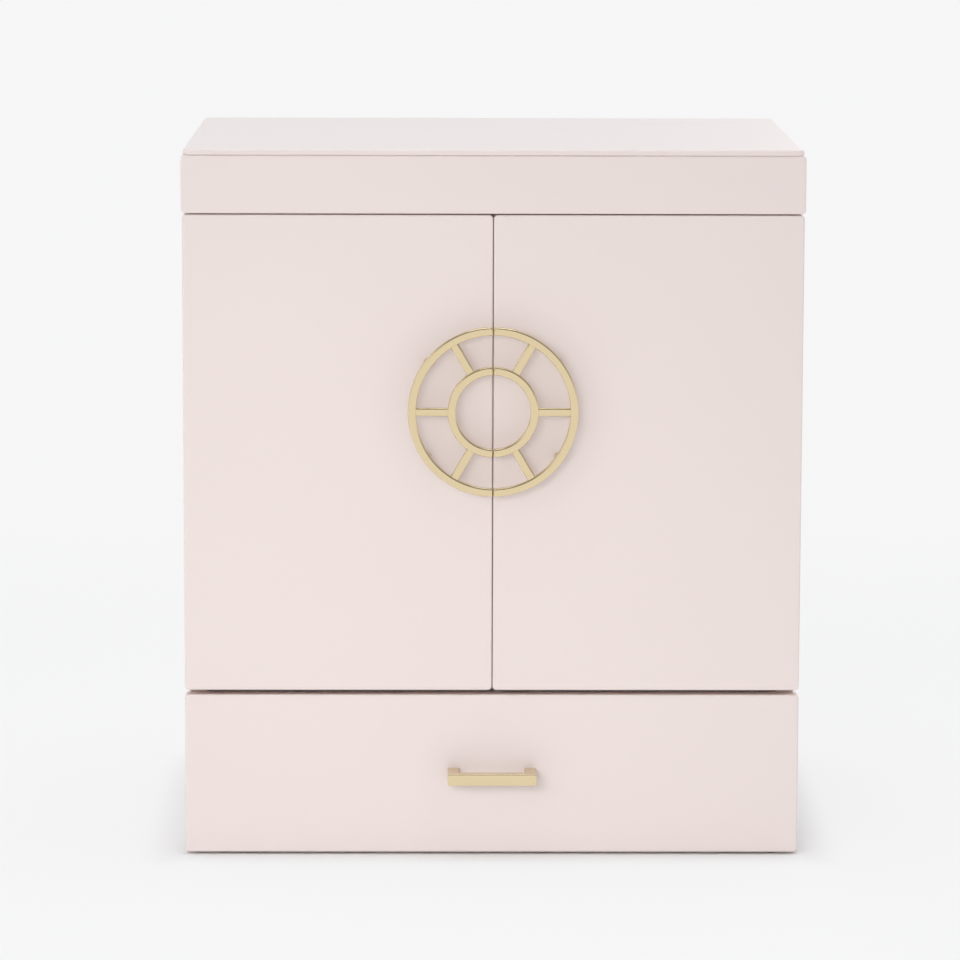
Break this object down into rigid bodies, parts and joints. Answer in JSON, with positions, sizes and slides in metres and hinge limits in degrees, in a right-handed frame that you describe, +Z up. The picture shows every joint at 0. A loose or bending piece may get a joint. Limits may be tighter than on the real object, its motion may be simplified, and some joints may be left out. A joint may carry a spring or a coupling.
{
  "type": "jewelry cabinet",
  "caption": "Blush leather-wrapped jewelry cabinet with a mirrored lift-up lid over a ring tray, hinged double doors with a split brass ring pull, and a drawer below.",
  "frame": {"origin": "middle of the felt underside of the base, under the middle of the case boards and fronts", "axes": "+Z up, the doors and the drawer face -Y, +X to the viewer's right"},
  "size_m": [0.301, 0.2282, 0.3466],
  "materials": {
    "blush_leather": "satin",
    "velvet": "matte pile",
    "champagne_brass": "satin",
    "steel": "brushed",
    "runner_wood": "plain",
    "base_felt": "felt",
    "mirror_glass": "polished"
  },
  "bodies": {
    "case": {"base_felt": "base_felt", "bottom_board": "blush_leather", "left_side": "blush_leather", "right_side": "blush_leather", "back_board": "blush_leather", "drawer_divider": "blush_leather", "tray_deck": "velvet", "tray_front_rail": "blush_leather", "bay_partition": "velvet", "upper_shelf": "velvet", "lower_shelf": "velvet", "bay_lining": "velvet", "tray_lining": "velvet", "tray_long_divider": "velvet", "tray_cross_dividers": "velvet", "ring_rolls": "velvet", "drawer_runners": "runner_wood", "door_magnets": "steel", "case_hinge_leaves": "champagne_brass", "door_hinge_pins": "steel", "lid_hinge_lower_leaves": "champagne_brass", "lid_hinge_pins": "steel", "necklace_rail": "champagne_brass"},
    "lid": {"lid_plate": "blush_leather", "lid_front_board": "blush_leather", "lid_left_rail": "blush_leather", "lid_right_rail": "blush_leather", "lid_back_rail": "blush_leather", "lid_liner": "velvet", "lid_mirror": "mirror_glass", "mirror_frame": "champagne_brass", "lid_hinge_upper_leaves": "champagne_brass"},
    "left_door": {"left_door_panel": "blush_leather", "left_door_lining": "velvet", "left_door_pull": "champagne_brass", "left_pull_screws": "steel", "left_door_hinge_leaves": "champagne_brass", "left_door_strike": "steel", "left_hook_plate": "champagne_brass", "left_door_pouch": "velvet"},
    "right_door": {"right_door_panel": "blush_leather", "right_door_lining": "velvet", "right_door_pull": "champagne_brass", "right_pull_screws": "steel", "right_door_hinge_leaves": "champagne_brass", "right_door_strike": "steel", "right_hook_plate": "champagne_brass", "right_door_pouch": "velvet"},
    "drawer": {"drawer_front": "blush_leather", "drawer_left_side": "velvet", "drawer_right_side": "velvet", "drawer_back": "velvet", "drawer_bottom": "velvet", "drawer_lining": "velvet", "drawer_dividers": "velvet", "drawer_handle": "champagne_brass", "handle_screws": "steel", "bracelet_pillows": "velvet"}
  },
  "joints": [
    {"name": "lid_hinge", "type": "hinge", "parent": "case", "child": "lid", "pos_m": [0, 0.1065, 0.31525], "axis": [-1, 0, 0], "range_deg": [0, 95]},
    {"name": "left_door_hinge", "type": "hinge", "parent": "case", "child": "left_door", "pos_m": [-0.1489, -0.09575, 0.194], "axis": [0, 0, -1], "range_deg": [0, 110]},
    {"name": "right_door_hinge", "type": "hinge", "parent": "case", "child": "right_door", "pos_m": [0.1489, -0.09575, 0.194], "axis": [0, 0, 1], "range_deg": [0, 110]},
    {"name": "drawer_slide", "type": "slide", "parent": "case", "child": "drawer", "axis": [0, -1, 0], "range_m": [0, 0.13]}
  ]
}
